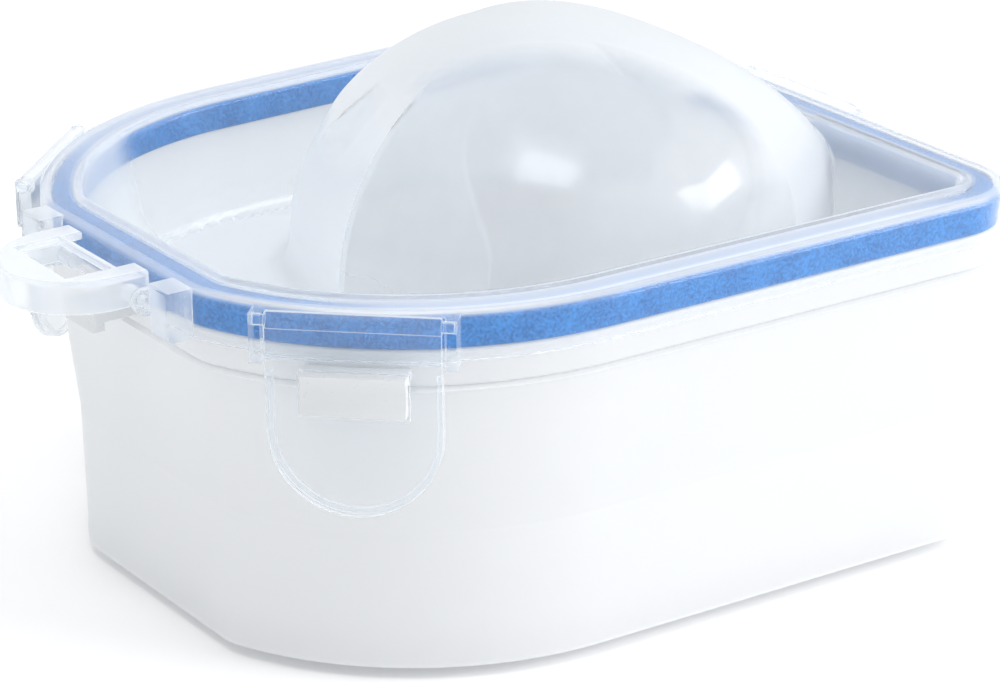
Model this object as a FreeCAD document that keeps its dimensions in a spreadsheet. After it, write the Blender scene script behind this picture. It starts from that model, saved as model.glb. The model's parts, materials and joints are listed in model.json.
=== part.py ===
"""Warm-water nail-soaking bowl: a white tub, a foam gasket, a clear tray with a palm dome,
and four hinged latches that hook over catches on the tub.

Frame: millimetres, +Z up, origin at the centre of the tub's resting face.
The wrist end is +X, the finger end is -X, and the bowl mirrors about the XZ plane.
"""
import FreeCAD, Part
import Sketcher
import math
import os

Vector = FreeCAD.Vector
Rotation = FreeCAD.Rotation
Placement = FreeCAD.Placement

SIZES = [
    # plan outline of the tray's skirt
    ("rim_length", 190.0), ("shoulder_x", 18.9), ("shoulder_y", 6.9),
    ("shoulder_radius", 80.4), ("side_flare", 1.78), ("wrist_corner", 18.0),
    # heights of the rim
    ("rim_height", 89.3), ("skirt_depth", 11.6), ("ring_top", 1.6), ("ring_round", 1.1),
    # tray walls, given as insets from the skirt's outline
    ("skirt_line", 0.0), ("skirt_wall", 1.4), ("channel_inner", 8.7), ("basin_edge", 10.1),
    ("basin_foot_outer", 12.0), ("basin_foot_inner", 13.6),
    ("basin_depth", 32.4), ("basin_floor", 1.6), ("basin_round", 3.5),
    # gasket, which fills the tray's channel
    ("gasket_outer", 1.6), ("gasket_inner", 8.5), ("gasket_height", 7.4),
    ("gasket_gap", 0.1),
    # tub, with its flange against the gasket, inside the skirt
    ("flange_edge", 1.9), ("flange_depth", 9.6), ("flange_round", 2.0),
    ("wall_top_outer", 3.2), ("wall_foot_outer", 7.4), ("wall_top_inner", 6.4),
    ("wall_foot_inner", 9.4), ("tub_floor", 2.4), ("tub_foot_round", 3.5),
    # palm dome: two half ellipsoids that meet at its middle, with hollows for the fingers and
    # thumb; the wrist half is longer and runs into the basin's wall as a bridge
    ("dome_x", 22.2), ("dome_level", 64.3), ("dome_long", 59.5), ("dome_wide", 68.9),
    ("dome_high", 55.9), ("dome_wall", 2.0), ("bridge_long", 70.3), ("bridge_end", 9.4),
    ("finger_hollow_wide", 16.0), ("finger_hollow_deep", 6.0), ("finger_hollow_high", 42.0),
    ("finger_hollow_turn", 19.0), ("thumb_hollow_wide", 33.0), ("thumb_hollow_deep", 7.0),
    ("thumb_hollow_high", 38.0), ("thumb_hollow_turn", 84.0),
    # long latches, two on the shoulders and one at the wrist end
    ("flap_wide", 38.0), ("flap_drop", 43.8), ("flap_plate", 1.8),
    ("knuckle_radius", 2.0), ("trunnion_radius", 1.2), ("trunnion_span", 43.2),
    ("hinge_drop", 2.2), ("hinge_out", 1.1), ("slot_wide", 24.0), ("slot_top", 10.7),
    ("slot_foot", 21.1), ("lip_wall", 1.4), ("lip_depth", 2.6), ("lip_top", 11.4),
    ("dish_radius", 8.5), ("dish_deep", 0.9), ("dish_drop", 31.5),
    # hinge pads on the tray for the long latches
    ("pad_wide", 45.0), ("pad_root", 5.0), ("shoulder_pad_out", 0.3), ("wrist_pad_out", 2.3),
    ("wrist_pad_wide", 65.0), ("shoulder_turn", 46.7), ("pin_clearance", 0.08),
    ("groove_clearance", 0.4), ("ear_gap", 0.4),
    # short latch at the finger end, standing level with the rim
    ("tab_wide", 36.0), ("tab_drop", 23.4), ("tab_deep", 6.5), ("tab_back", 1.2),
    ("tab_plate", 2.0), ("tab_wall", 1.6), ("tab_slot_top", 4.0), ("tab_slot_foot", 14.8),
    ("tab_rib", 1.5), ("tab_root", 2.0), ("tab_hinge_out", 3.5), ("tab_hinge_drop", 6.5),
    ("tab_trunnion_span", 40.2), ("tab_ear_from", 18.3), ("tab_ear_wide", 2.3),
    ("tab_ear_radius", 3.0), ("tab_block_from", 24.6), ("tab_block_to", 33.0),
    ("tab_block_out", 5.5), ("tab_block_drop", 0.3),
    # catches, whose roots sit in slots in the tub's flange
    ("catch_wide", 23.0), ("catch_top", 13.5), ("catch_high", 8.8), ("catch_out", 4.3),
    ("catch_lip", 3.0), ("catch_web", 2.6), ("catch_root", 4.2), ("catch_hollow", 0.7),
    ("catch_round", 0.8), ("tab_catch_top", 12.1), ("tab_catch_high", 4.6),
    ("tab_catch_out", 9.7), ("tab_catch_wide", 13.0),
]
VALUE = dict(SIZES)
ORIGIN, X_AXIS = (-1, 1), -1
START, FINISH, CENTRE = 1, 2, 3

doc = FreeCAD.newDocument("NailSoakingBowl")


class Size:
    """A length worked out from the sheet: its formula, and its value for first drafts."""

    def __init__(self, text, value):
        self.text = text
        self.value = value

    def join(self, sign, other, value):
        other_text = other.text if isinstance(other, Size) else str(other)
        return Size(f"({self.text} {sign} {other_text})", value)

    def __add__(self, other):
        return self.join("+", other, self.value + getattr(other, "value", other))

    def __sub__(self, other):
        return self.join("-", other, self.value - getattr(other, "value", other))

    def __mul__(self, other):
        return self.join("*", other, self.value * getattr(other, "value", other))

    def __truediv__(self, other):
        return self.join("/", other, self.value / getattr(other, "value", other))

    def __neg__(self):
        return Size(f"(0 - {self.text})", -self.value)


class Sheet:
    """Read a cell of the sheet by its alias, as in cell.rim_length."""

    def __getattr__(self, alias):
        return Size(f"Sizes.{alias}", VALUE[alias])


cell = Sheet()


def make_sheet():
    sheet = doc.addObject("Spreadsheet::Sheet", "Sizes")
    for row, (alias, value) in enumerate(SIZES, start=1):
        sheet.set(f"A{row}", alias)
        sheet.set(f"B{row}", str(value))
        sheet.setAlias(f"B{row}", alias)
    doc.recompute()


def bind(target, prop, size):
    """Drive a property from the sheet."""
    target.setExpression(prop, size.text)


# ---------------------------------------------------------------- bodies and sketches


def new_body(name):
    body = doc.addObject("PartDesign::Body", name)
    body.Label = name
    return body


def attach(item, body, role):
    """Lay a sketch or a primitive on one of its body's origin planes."""
    plane = next(feature for feature in body.Origin.OriginFeatures if feature.Role == role)
    item.AttachmentSupport = [(plane, "")]
    item.MapMode = "FlatFace"


def new_sketch(body, name, role, level=None):
    sketch = body.newObject("Sketcher::SketchObject", name)
    attach(sketch, body, role)
    if level:
        bind(sketch, "AttachmentOffset.Base.z", level)
    return sketch


def dimension(sketch, size, kind, *where):
    """Add a dimensional constraint and bind it to the sheet."""
    index = sketch.addConstraint(Sketcher.Constraint(kind, *where, size.value))
    name = f"size_{index}"
    sketch.renameConstraint(index, name)
    bind(sketch, "Constraints." + name, size)


def line(x1, y1, x2, y2):
    return Part.LineSegment(Vector(x1, y1, 0), Vector(x2, y2, 0))


def arc(x, y, radius, first, last):
    return Part.ArcOfCircle(Part.Circle(Vector(x, y, 0), Vector(0, 0, 1), radius), first, last)


def add_outline(sketch, inset):
    """Draw the bowl's plan outline, offset inwards by an inset."""
    half = cell.rim_length / 2 - inset
    radius = cell.shoulder_radius - inset
    corner = cell.wrist_corner - inset
    centre_x = -VALUE["shoulder_x"]
    centre_y = VALUE["shoulder_y"]
    flare = math.radians(VALUE["side_flare"])
    side = math.pi / 2 + flare
    end_angle = math.acos((-half.value - centre_x) / radius.value)
    end_y = centre_y + radius.value * math.sin(end_angle)
    join_x = centre_x + radius.value * math.cos(side)
    join_y = centre_y + radius.value * math.sin(side)
    corner_x = half.value - corner.value
    corner_y = join_y + (corner_x - join_x) * math.tan(flare) - corner.value / math.cos(flare)
    turn_x = corner_x + corner.value * math.cos(side)
    turn_y = corner_y + corner.value * math.sin(side)

    upper, end, lower, lower_side, lower_corner, wrist, upper_corner, upper_side = sketch.addGeometry([
        arc(centre_x, centre_y, radius.value, side, end_angle),
        line(-half.value, end_y, -half.value, -end_y),
        arc(centre_x, -centre_y, radius.value, -end_angle, -side),
        line(join_x, -join_y, turn_x, -turn_y),
        arc(corner_x, -corner_y, corner.value, -side, 0),
        line(half.value, -corner_y, half.value, corner_y),
        arc(corner_x, corner_y, corner.value, 0, side),
        line(turn_x, turn_y, join_x, join_y),
    ])
    for first, second in ((upper, end), (end, lower)):
        sketch.addConstraint(Sketcher.Constraint("Coincident", first, FINISH, second, START))
    for first, second in ((lower, lower_side), (lower_side, lower_corner), (lower_corner, wrist),
                          (wrist, upper_corner), (upper_corner, upper_side), (upper_side, upper)):
        sketch.addConstraint(Sketcher.Constraint("Tangent", first, FINISH, second, START))
    sketch.addConstraint([
        Sketcher.Constraint("Symmetric", end, START, end, FINISH, X_AXIS),
        Sketcher.Constraint("Symmetric", wrist, START, wrist, FINISH, X_AXIS),
        Sketcher.Constraint("Symmetric", upper, CENTRE, lower, CENTRE, X_AXIS),
        Sketcher.Constraint("Equal", lower_corner, upper_corner),
    ])
    dimension(sketch, -half, "DistanceX", *ORIGIN, end, START)
    dimension(sketch, half, "DistanceX", *ORIGIN, wrist, FINISH)
    dimension(sketch, -cell.shoulder_x, "DistanceX", *ORIGIN, upper, CENTRE)
    dimension(sketch, cell.shoulder_y, "DistanceY", *ORIGIN, upper, CENTRE)
    dimension(sketch, radius, "Radius", upper)
    dimension(sketch, corner, "Radius", upper_corner)
    slope = sketch.addConstraint(Sketcher.Constraint("Angle", X_AXIS, START, upper_side, FINISH, flare))
    sketch.renameConstraint(slope, f"slope_{slope}")
    sketch.setExpression(f"Constraints.slope_{slope}", "Sizes.side_flare * 1 deg")


def outline_sketch(body, name, level, *insets):
    sketch = new_sketch(body, name, "XY_Plane", level)
    for inset in insets:
        add_outline(sketch, inset)
    return sketch


def add_box(sketch, left, right, low, high):
    """Draw a rectangle between two abscissas and two heights."""
    x1, x2, y1, y2 = left.value, right.value, low.value, high.value
    sides = sketch.addGeometry([line(x1, y1, x2, y1), line(x2, y1, x2, y2),
                                line(x2, y2, x1, y2), line(x1, y2, x1, y1)])
    foot, east, head, west = sides
    for first, second in ((foot, east), (east, head), (head, west), (west, foot)):
        sketch.addConstraint(Sketcher.Constraint("Coincident", first, FINISH, second, START))
    sketch.addConstraint([Sketcher.Constraint("Horizontal", foot),
                          Sketcher.Constraint("Horizontal", head),
                          Sketcher.Constraint("Vertical", east),
                          Sketcher.Constraint("Vertical", west)])
    dimension(sketch, left, "DistanceX", *ORIGIN, foot, START)
    dimension(sketch, low, "DistanceY", *ORIGIN, foot, START)
    dimension(sketch, right, "DistanceX", *ORIGIN, head, START)
    dimension(sketch, high, "DistanceY", *ORIGIN, head, START)


def add_circle(sketch, radius):
    """Draw a circle about the origin."""
    ring = sketch.addGeometry(Part.Circle(Vector(0, 0, 0), Vector(0, 0, 1), radius.value))
    sketch.addConstraint(Sketcher.Constraint("Coincident", ring, CENTRE, *ORIGIN))
    dimension(sketch, radius, "Radius", ring)


def add_tongue(sketch, half, top, drop):
    """Draw a tongue that hangs from a height top and ends in a half circle at -drop."""
    level = half.value - drop.value
    head, west, bend, east = sketch.addGeometry([
        line(half.value, top.value, -half.value, top.value),
        line(-half.value, top.value, -half.value, level),
        arc(0, level, half.value, math.pi, 2 * math.pi),
        line(half.value, level, half.value, top.value),
    ])
    for first, second in ((head, west), (east, head)):
        sketch.addConstraint(Sketcher.Constraint("Coincident", first, FINISH, second, START))
    for first, second in ((west, bend), (bend, east)):
        sketch.addConstraint(Sketcher.Constraint("Tangent", first, FINISH, second, START))
    sketch.addConstraint(Sketcher.Constraint("Horizontal", head))
    sketch.addConstraint(Sketcher.Constraint("Vertical", east))
    dimension(sketch, half, "DistanceX", *ORIGIN, head, START)
    dimension(sketch, top, "DistanceY", *ORIGIN, head, START)
    dimension(sketch, -half, "DistanceX", *ORIGIN, head, FINISH)
    dimension(sketch, half - drop, "DistanceY", *ORIGIN, bend, CENTRE)


def extrude(body, name, sketch, length, kind="PartDesign::Pad", midplane=False, reverse=False):
    feature = body.newObject(kind, name)
    feature.Profile = sketch
    feature.Midplane = midplane
    feature.Reversed = reverse
    bind(feature, "Length", length)
    return feature


def loft(body, name, low, high, kind="PartDesign::AdditiveLoft"):
    feature = body.newObject(kind, name)
    feature.Profile = low
    feature.Sections = [high]
    feature.Ruled = True
    return feature


def round_edges(body, name, radius, accepted):
    """Fillet the edges of the body's last feature that the function accepted picks."""
    doc.recompute()
    base = body.Tip
    edges = enumerate(base.Shape.Edges, start=1)
    feature = body.newObject("PartDesign::Fillet", name)
    feature.Base = (base, [f"Edge{number}" for number, edge in edges if accepted(edge)])
    bind(feature, "Radius", radius)
    return feature


def at_level(level):
    """Accept the edges that lie flat at a level."""
    def accepted(edge):
        box = edge.BoundBox
        return abs(box.ZMin - level.value) < 0.01 and abs(box.ZMax - level.value) < 0.01
    return accepted


# ---------------------------------------------------------------- places of the latches


class Seat:
    """Where a latch sits: its frame has +X outwards, +Z up and its origin on the skirt's top edge."""

    def __init__(self, name, x, y, heading, pad_out, pad_wide):
        self.name = name
        self.place = Placement(Vector(x, y, VALUE["rim_height"]), Rotation(Vector(0, 0, 1), heading))
        self.pad_out = pad_out
        self.pad_wide = pad_wide

    def at(self, out, up, turn=None):
        """A placement at a distance outwards and up in the seat's own frame."""
        return self.place * Placement(Vector(out.value, 0, up.value), turn or Rotation())


def shoulder_seat(name, side):
    turn = math.radians(VALUE["shoulder_turn"])
    x = -VALUE["shoulder_x"] - VALUE["shoulder_radius"] * math.cos(turn)
    y = VALUE["shoulder_y"] + VALUE["shoulder_radius"] * math.sin(turn)
    heading = 180 - side * VALUE["shoulder_turn"]
    return Seat(name, x, side * y, heading, cell.shoulder_pad_out, cell.pad_wide)


HALF_LENGTH = VALUE["rim_length"] / 2
LONG_SEATS = [
    shoulder_seat("near_shoulder", -1),
    shoulder_seat("far_shoulder", 1),
    Seat("wrist", HALF_LENGTH, 0, 0, cell.wrist_pad_out, cell.wrist_pad_wide),
]
FINGER_SEAT = Seat("finger", -HALF_LENGTH, 0, 180, cell.skirt_line, cell.tab_wide)


def make_box(name, seat, out_from, out_to, left, right, low, high):
    """A box in a seat's frame, between two distances out, two across and two heights."""
    box = doc.addObject("Part::Box", name)
    bind(box, "Length", out_to - out_from)
    bind(box, "Width", right - left)
    bind(box, "Height", high - low)
    box.Placement = seat.place * Placement(Vector(out_from.value, left.value, low.value), Rotation())
    return box


def make_rod(name, seat, out, up, radius, left, right):
    """A rod along a seat's hinge line, between two distances across."""
    rod = doc.addObject("Part::Cylinder", name)
    bind(rod, "Radius", radius)
    bind(rod, "Height", right - left)
    across = Rotation(Vector(1, 0, 0), -90)
    rod.Placement = seat.place * Placement(Vector(out.value, left.value, up.value), across)
    return rod


def combine(kind, name, shapes):
    joined = doc.addObject(kind, name)
    joined.Shapes = shapes
    return joined


def cut(name, base, tool):
    result = doc.addObject("Part::Cut", name)
    result.Base = base
    result.Tool = tool
    result.Label = name
    return result


# ---------------------------------------------------------------- tub and gasket


def gasket_foot():
    return cell.rim_height - cell.ring_top - cell.gasket_gap - cell.gasket_height


def make_tub():
    body = new_body("tub_shell")
    rim = gasket_foot()
    brow = rim - cell.flange_depth
    flange = outline_sketch(body, "flange_outline", brow, cell.flange_edge)
    extrude(body, "flange", flange, cell.flange_depth)
    round_edges(body, "flange_round", cell.flange_round, at_level(brow))
    foot = outline_sketch(body, "wall_foot", cell.skirt_line, cell.wall_foot_outer)
    head = outline_sketch(body, "wall_head", brow, cell.wall_top_outer)
    loft(body, "wall", foot, head)
    round_edges(body, "foot_round", cell.tub_foot_round, at_level(cell.skirt_line))
    sump = outline_sketch(body, "sump_outline", cell.tub_floor, cell.wall_foot_inner)
    mouth = outline_sketch(body, "mouth_outline", rim, cell.wall_top_inner)
    loft(body, "reservoir", sump, mouth, "PartDesign::SubtractiveLoft")
    slots = [make_catch_root(seat, cell.catch_top, cell.catch_wide) for seat in LONG_SEATS]
    slots.append(make_catch_root(FINGER_SEAT, cell.tab_catch_top, cell.tab_catch_wide))
    return cut("tub", body, combine("Part::MultiFuse", "catch_slots", slots))


def make_catch_root(seat, top, wide):
    """The slot in the tub's flange that holds a catch's root."""
    half = wide / 2
    return make_box(f"{seat.name}_catch_slot", seat, -cell.catch_root, cell.skirt_line,
                    -half, half, -(top + cell.catch_web), -top)


def make_gasket():
    body = new_body("gasket")
    ring = outline_sketch(body, "gasket_outline", gasket_foot(), cell.gasket_outer,
                          cell.gasket_inner)
    extrude(body, "gasket_ring", ring, cell.gasket_height)
    return body


# ---------------------------------------------------------------- tray


def make_rim_and_basin():
    """The skirt and ring as one block, with the basin hung inside it and hollowed."""
    body = new_body("tray_rim")
    skirt_foot = cell.rim_height - cell.skirt_depth
    floor = cell.rim_height - cell.basin_depth
    skirt = outline_sketch(body, "skirt_outline", skirt_foot, cell.skirt_line)
    extrude(body, "rim_block", skirt, cell.skirt_depth)
    basin_foot = outline_sketch(body, "basin_foot", floor - cell.basin_floor, cell.basin_foot_outer)
    basin_head = outline_sketch(body, "basin_head", skirt_foot, cell.channel_inner)
    loft(body, "basin_block", basin_foot, basin_head)
    inner_foot = outline_sketch(body, "basin_inner_foot", floor, cell.basin_foot_inner)
    inner_head = outline_sketch(body, "basin_inner_head", cell.rim_height, cell.basin_edge)
    loft(body, "basin_hollow", inner_foot, inner_head, "PartDesign::SubtractiveLoft")
    round_edges(body, "basin_round", cell.basin_round, at_level(floor))
    round_edges(body, "rim_round", cell.ring_round, at_level(cell.rim_height))
    return body


def make_channel():
    """The space under the ring that takes the gasket."""
    body = new_body("gasket_channel")
    foot = cell.rim_height - cell.skirt_depth
    ring = outline_sketch(body, "channel_outline", foot, cell.skirt_wall, cell.channel_inner)
    extrude(body, "channel", ring, cell.skirt_depth - cell.ring_top)
    return body


def make_ellipsoid(name, high, first, second, place):
    """An ellipsoid with a vertical half-axis and two level ones along its own X and Y."""
    shape = doc.addObject("Part::Ellipsoid", name)
    bind(shape, "Radius1", high)
    bind(shape, "Radius2", first)
    bind(shape, "Radius3", second)
    shape.Angle1 = -90
    shape.Placement = place
    return shape


def make_palm(name, wall, level, end):
    """The dome as one solid above a level, a wall thickness in, which ends at an inset."""
    centre = Vector(VALUE["dome_x"], 0, VALUE["dome_level"])
    bound = doc.addObject("Part::Box", f"{name}_bound")
    bind(bound, "Length", cell.rim_length - end)
    bind(bound, "Width", cell.rim_length)
    bind(bound, "Height", cell.rim_height)
    bound.Placement = Placement(Vector(-HALF_LENGTH, -HALF_LENGTH, level.value), Rotation())
    halves = []
    for label, long, turn in (("finger", cell.dome_long, 90), ("wrist", cell.bridge_long, -90)):
        half = make_ellipsoid(f"{name}_{label}", cell.dome_high - wall, cell.dome_wide - wall,
                              long - wall, Placement(centre, Rotation(Vector(0, 0, 1), turn)))
        half.Angle3 = 180
        halves.append(combine("Part::MultiCommon", f"{half.Name}_above", [half, bound]))
    return combine("Part::MultiFuse", name, halves)


def make_hollows(name, growth):
    """Hollows for two fingers and the thumb on each side of the dome, grown by a wall."""
    floor = VALUE["rim_height"] - VALUE["basin_depth"]
    shapes = []
    for kind in ("finger", "thumb"):
        wide = getattr(cell, f"{kind}_hollow_wide") + growth
        deep = getattr(cell, f"{kind}_hollow_deep") + growth
        high = getattr(cell, f"{kind}_hollow_high") + growth
        turn = VALUE[f"{kind}_hollow_turn"]
        for side in (-1, 1):
            angle = math.radians(180 - side * turn)
            reach_x = VALUE["dome_long"] * math.cos(angle)
            reach_y = VALUE["dome_wide"] * math.sin(angle)
            out = math.degrees(math.atan2(reach_y / VALUE["dome_wide"] ** 2,
                                          reach_x / VALUE["dome_long"] ** 2))
            place = Placement(Vector(VALUE["dome_x"] + reach_x, reach_y, floor),
                              Rotation(Vector(0, 0, 1), out))
            label = f"{name}_{kind}_{'near' if side < 0 else 'far'}"
            shapes.append(make_ellipsoid(label, high, deep, wide, place))
    return combine("Part::MultiFuse", f"{name}s", shapes)


def make_dome():
    """The palm dome's outside, with its hollows."""
    floor = cell.rim_height - cell.basin_depth - cell.basin_floor
    skin = make_palm("dome_skin", cell.skirt_line, floor, cell.bridge_end)
    return cut("dome", skin, make_hollows("hollow", cell.skirt_line))


def make_dome_core():
    """The air under the dome: the dome's shape, one wall thickness in."""
    below = cell.rim_height - cell.basin_depth - cell.basin_floor * 2
    core = make_palm("core_skin", cell.dome_wall, below, cell.bridge_end + cell.dome_wall * 1.5)
    return cut("dome_core", core, make_hollows("wall", cell.dome_wall))


def make_long_pad(seat):
    """A flat pad on the skirt, with an ear each side of the flap."""
    name = seat.name
    ear_from = cell.flap_wide / 2 + cell.ear_gap
    ear_to = cell.pad_wide / 2
    ear_out = seat.pad_out + cell.hinge_out + cell.flap_plate
    half = seat.pad_wide / 2
    return [
        make_box(f"{name}_pad", seat, -cell.pad_root, seat.pad_out, -half, half,
                 -cell.skirt_depth, cell.skirt_line),
        make_box(f"{name}_left_ear", seat, -cell.pad_root, ear_out, ear_from, ear_to,
                 -cell.skirt_depth, cell.skirt_line),
        make_box(f"{name}_right_ear", seat, -cell.pad_root, ear_out, -ear_to, -ear_from,
                 -cell.skirt_depth, cell.skirt_line),
    ]


def make_long_pad_cuts(seat):
    """The groove for the flap's knuckle and the holes for its trunnions."""
    name = seat.name
    out = seat.pad_out + cell.hinge_out
    groove_half = cell.flap_wide / 2 + cell.ear_gap
    pin_half = cell.trunnion_span / 2 + cell.ear_gap
    return [
        make_rod(f"{name}_groove", seat, out, -cell.hinge_drop,
                 cell.knuckle_radius + cell.groove_clearance, -groove_half, groove_half),
        make_rod(f"{name}_pin_holes", seat, out, -cell.hinge_drop,
                 cell.trunnion_radius + cell.pin_clearance, -pin_half, pin_half),
    ]


def make_finger_pads():
    """Two blocks at the ends of the finger edge, and two small ears that carry the tab."""
    shapes = []
    for side, label in ((1, "left"), (-1, "right")):
        block = sorted([cell.tab_block_from * side, cell.tab_block_to * side], key=lambda s: s.value)
        ear = sorted([cell.tab_ear_from * side, (cell.tab_ear_from + cell.tab_ear_wide) * side],
                     key=lambda s: s.value)
        low = -(cell.tab_hinge_drop + cell.tab_ear_radius)
        high = cell.tab_ear_radius - cell.tab_hinge_drop
        shapes.append(make_box(f"finger_{label}_block", FINGER_SEAT, -cell.skirt_wall,
                               cell.tab_block_out, *block, -cell.skirt_depth, -cell.tab_block_drop))
        shapes.append(make_box(f"finger_{label}_ear", FINGER_SEAT, -cell.skirt_wall,
                               cell.tab_hinge_out, *ear, low, high))
        shapes.append(make_rod(f"finger_{label}_boss", FINGER_SEAT, cell.tab_hinge_out,
                               -cell.tab_hinge_drop, cell.tab_ear_radius, *ear))
    return shapes


def make_finger_pin_holes():
    half = cell.tab_ear_from + cell.tab_ear_wide + cell.ear_gap
    return make_rod("finger_pin_holes", FINGER_SEAT, cell.tab_hinge_out, -cell.tab_hinge_drop,
                    cell.trunnion_radius + cell.pin_clearance, -half, half)


def make_tray():
    solids = [make_rim_and_basin(), make_dome(), *make_finger_pads()]
    voids = [make_channel(), make_dome_core(), make_finger_pin_holes()]
    for seat in LONG_SEATS:
        solids += make_long_pad(seat)
        voids += make_long_pad_cuts(seat)
    blank = combine("Part::MultiFuse", "tray_blank", solids)
    return cut("tray", blank, combine("Part::MultiFuse", "tray_voids", voids))


# ---------------------------------------------------------------- latches and catches
# Latches and catches are drawn in a frame with +X outwards and +Z up. A latch hangs closed
# from its hinge line, which is the frame's Y axis.


def make_knuckle(body, length, span):
    """The hinge: a knuckle along the flap's top with a trunnion at each end."""
    for label, radius, reach in (("knuckle", cell.knuckle_radius, length),
                                 ("trunnions", cell.trunnion_radius, span)):
        ring = new_sketch(body, f"{label}_circle", "XZ_Plane")
        add_circle(ring, radius)
        extrude(body, label, ring, reach, midplane=True)


def make_slot(body, half, low, high, reach):
    """The window that a catch pokes through."""
    window = new_sketch(body, "slot_outline", "YZ_Plane")
    add_box(window, -half, half, low, high)
    extrude(body, "slot", window, reach, "PartDesign::Pocket", midplane=True)


def make_long_flap(seat):
    body = new_body(f"{seat.name}_latch")
    half = cell.flap_wide / 2
    plate = new_sketch(body, "plate_outline", "YZ_Plane")
    add_tongue(plate, half, cell.skirt_line, cell.flap_drop)
    extrude(body, "plate", plate, cell.flap_plate)
    lip = new_sketch(body, "lip_outline", "YZ_Plane")
    add_tongue(lip, half, -cell.lip_top, cell.flap_drop)
    add_tongue(lip, half - cell.lip_wall, -(cell.lip_top + cell.lip_wall),
               cell.flap_drop - cell.lip_wall)
    extrude(body, "lip", lip, cell.lip_depth, reverse=True)
    make_knuckle(body, cell.flap_wide, cell.trunnion_span)
    make_slot(body, cell.slot_wide / 2, -cell.slot_foot, -cell.slot_top, cell.flap_plate * 4)
    depth = cell.dish_deep
    ball = (cell.dish_radius * cell.dish_radius + depth * depth) / (depth * 2)
    dish = body.newObject("PartDesign::SubtractiveSphere", "thumb_dish")
    attach(dish, body, "XY_Plane")
    bind(dish, "Radius", ball)
    centre_out = VALUE["flap_plate"] - depth.value + ball.value
    dish.AttachmentOffset = Placement(Vector(centre_out, 0, -VALUE["dish_drop"]), Rotation())
    body.Placement = seat.at(seat.pad_out + cell.hinge_out, -cell.hinge_drop)
    return body


def make_finger_tab():
    """The short latch: a deep, round-ended thumb tab, raised level with the rim."""
    body = new_body("finger_latch")
    half = cell.tab_wide / 2
    block = new_sketch(body, "block_outline", "YZ_Plane")
    add_tongue(block, half, cell.tab_root, cell.tab_drop)
    extrude(body, "block", block, cell.tab_deep)
    skirt = new_sketch(body, "skirt_outline", "YZ_Plane")
    add_tongue(skirt, half, -cell.tab_slot_top, cell.tab_drop)
    extrude(body, "back", skirt, cell.tab_back, reverse=True)
    inside = new_sketch(body, "inside_outline", "YZ_Plane", cell.tab_deep - cell.tab_plate)
    add_tongue(inside, half - cell.tab_wall, cell.tab_root * 2, cell.tab_drop - cell.tab_wall)
    extrude(body, "inside", inside, cell.tab_deep + cell.tab_back, "PartDesign::Pocket")
    rib_top = -(cell.tab_slot_top - cell.tab_rib)
    notch = new_sketch(body, "notch_outline", "YZ_Plane")
    add_box(notch, -cell.slot_wide / 2, cell.slot_wide / 2, rib_top, cell.tab_root * 2)
    extrude(body, "notch", notch, cell.tab_deep * 3, "PartDesign::Pocket", midplane=True)
    make_knuckle(body, cell.tab_wide, cell.tab_trunnion_span)
    make_slot(body, cell.slot_wide / 2, -cell.tab_slot_foot, -cell.tab_slot_top, cell.tab_deep * 3)
    raised = Rotation(Vector(0, 1, 0), -90)
    body.Placement = FINGER_SEAT.at(cell.tab_hinge_out, -cell.tab_hinge_drop, raised)
    return body


def make_catch(seat, top, high, out, wide):
    """A hooked bar: a web out of the tub, and a lip that hangs from it with a hollow face."""
    body = new_body(f"{seat.name}_catch")
    foot = top + high
    shelf = top + cell.catch_web
    web = new_sketch(body, "web_outline", "XZ_Plane")
    add_box(web, -cell.catch_root, out, -shelf, -top)
    extrude(body, "web", web, wide, midplane=True)
    lip = new_sketch(body, "lip_outline", "XZ_Plane")
    add_box(lip, out - cell.catch_lip, out, -foot, -top)
    extrude(body, "lip", lip, wide, midplane=True)
    hollow_radius = (high * high / 4 + cell.catch_hollow * cell.catch_hollow) / (cell.catch_hollow * 2)
    groove = body.newObject("PartDesign::SubtractiveCylinder", "face_hollow")
    attach(groove, body, "XY_Plane")
    bind(groove, "Radius", hollow_radius)
    bind(groove, "Height", wide * 2)
    groove.AttachmentOffset = Placement(
        Vector(out.value + hollow_radius.value - VALUE["catch_hollow"], wide.value,
               -(top.value + high.value / 2)), Rotation(Vector(1, 0, 0), 90))
    round_edges(body, "tip_round", cell.catch_round, at_level(-foot))
    body.Placement = seat.place
    return body


# ---------------------------------------------------------------- checks and export


def broken(item):
    return "Invalid" in item.State or "Error" in item.State


def write_parts(parts):
    doc.recompute()
    failed = [item.Name for item in doc.Objects if broken(item)]
    if failed:
        raise RuntimeError(f"objects failed to recompute: {failed}")
    os.makedirs("parts", exist_ok=True)
    for part in parts:
        shape = part.Shape
        if shape.isNull() or not shape.isValid():
            raise RuntimeError(f"{part.Label} has no valid shape")
        shape.exportStep(f"parts/{part.Label}.step")
        print(f"{part.Label:22s} solids {len(shape.Solids)}  volume {shape.Volume / 1000:8.2f} cm3")


def main():
    make_sheet()
    parts = [make_tub(), make_gasket(), make_tray()]
    for seat in LONG_SEATS:
        parts.append(make_long_flap(seat))
        parts.append(make_catch(seat, cell.catch_top, cell.catch_high, seat.pad_out + cell.catch_out,
                                cell.catch_wide))
    parts.append(make_finger_tab())
    parts.append(make_catch(FINGER_SEAT, cell.tab_catch_top, cell.tab_catch_high,
                            cell.tab_catch_out, cell.tab_catch_wide))
    write_parts(parts)


main()
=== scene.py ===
import json
import math

import bmesh
import bpy
from mathutils import Matrix, Vector


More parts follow.
